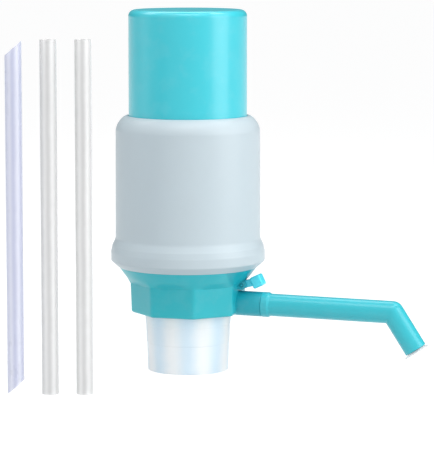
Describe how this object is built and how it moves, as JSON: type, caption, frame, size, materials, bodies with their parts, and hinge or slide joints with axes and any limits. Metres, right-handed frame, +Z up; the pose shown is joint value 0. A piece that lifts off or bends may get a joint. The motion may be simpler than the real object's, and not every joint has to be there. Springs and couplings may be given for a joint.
{
  "type": "water jug hand pump",
  "caption": "Hand pump for a water jug: press cap over a bellows, faceted collar with vent lever, turning bent spout, neck sleeve and loose suction tubes.",
  "frame": {"origin": "on the floor under the middle of the whole set; the pump's own axis stands at x -0.02163, y 0.02265", "axes": "+Z up along the pump axis, +X from the loose tubes towards the spout's outlet, +Y away from the side on which the tubes stand"},
  "size_m": [0.2678, 0.1466, 0.237],
  "materials": {
    "teal": "satin moulded plastic",
    "body_white": "satin moulded plastic, slightly blue white",
    "inner_white": "moulded plastic",
    "bellows_rubber": "soft moulded",
    "dark_rubber": "moulded",
    "light_rubber": "moulded",
    "frosted_sleeve": "frosted translucent",
    "frosted_tube": "frosted translucent",
    "soft_tube": "soft translucent, slightly blue",
    "clear_plug": "thin translucent",
    "steel": "bright drawn wire"
  },
  "bodies": {
    "pump": {"base_collar": "teal", "pump_body": "body_white", "valve_plate": "inner_white", "bellows": "bellows_rubber", "duct_seal": "dark_rubber", "tube_bush": "light_rubber", "neck_gasket": "light_rubber", "neck_sleeve": "frosted_sleeve", "vent_pin": "teal", "vent_spring": "steel"},
    "cap": {"press_cap": "teal", "bellows_top_plate": "inner_white"},
    "intake_valve": {"intake_flap": "dark_rubber"},
    "outlet_valve": {"outlet_flap": "dark_rubber"},
    "lever": {"vent_lever": "teal"},
    "plunger": {"vent_plunger": "inner_white", "vent_seal": "dark_rubber"},
    "spout": {"spout_tube": "teal", "spout_o_ring_outer": "dark_rubber", "spout_o_ring_inner": "dark_rubber"},
    "plug": {"outlet_plug": "clear_plug"},
    "slanted_tube": {"suction_tube_slanted": "soft_tube"},
    "tube_a": {"suction_tube_a": "frosted_tube"},
    "tube_b": {"suction_tube_b": "frosted_tube"}
  },
  "joints": [
    {"name": "cap_press", "type": "slide", "parent": "pump", "child": "cap", "axis": [0, 0, -1], "range_m": [0, 0.055], "stiffness_N_per_m": 200, "springref_m": -0.03, "deforming": ["bellows"]},
    {"name": "intake_lift", "type": "slide", "parent": "cap", "child": "intake_valve", "axis": [0, 0, -1], "range_m": [0, 0.001], "stiffness_N_per_m": 60, "springref_m": -0.001},
    {"name": "outlet_lift", "type": "slide", "parent": "pump", "child": "outlet_valve", "axis": [0, 0, -1], "range_m": [0, 0.001], "stiffness_N_per_m": 60, "springref_m": -0.001},
    {"name": "vent_lift", "type": "slide", "parent": "pump", "child": "plunger", "axis": [0, 0, 1], "range_m": [0, 0.0041], "stiffness_N_per_m": 310, "springref_m": -0.003, "deforming": ["vent_spring"]},
    {"name": "vent_tilt", "type": "hinge", "parent": "pump", "child": "lever", "pos_m": [0.01461, 0.01191, 0.0576], "axis": [0.284, 0.9588, 0], "range_deg": [0, 10]},
    {"name": "spout_turn", "type": "hinge", "parent": "pump", "child": "spout", "pos_m": [-0.02163, 0.02265, 0.0459], "axis": [0.9587, -0.284, -0.0175], "continuous": true},
    {"name": "plug_pull", "type": "slide", "parent": "spout", "child": "plug", "axis": [0.5222, -0.1547, -0.8387], "range_m": [0, 0.03]},
    {"name": "slanted_tube_lift", "type": "slide", "parent": "pump", "child": "slanted_tube", "axis": [0, 0, 1], "range_m": [0, 0.24]},
    {"name": "tube_a_lift", "type": "slide", "parent": "pump", "child": "tube_a", "axis": [0, 0, 1], "range_m": [0, 0.24]},
    {"name": "tube_b_lift", "type": "slide", "parent": "pump", "child": "tube_b", "axis": [0, 0, 1], "range_m": [0, 0.24]}
  ],
  "couplings": [
    {"joint": "vent_tilt", "follows": "vent_lift", "rad_per_m": 42.55}
  ]
}
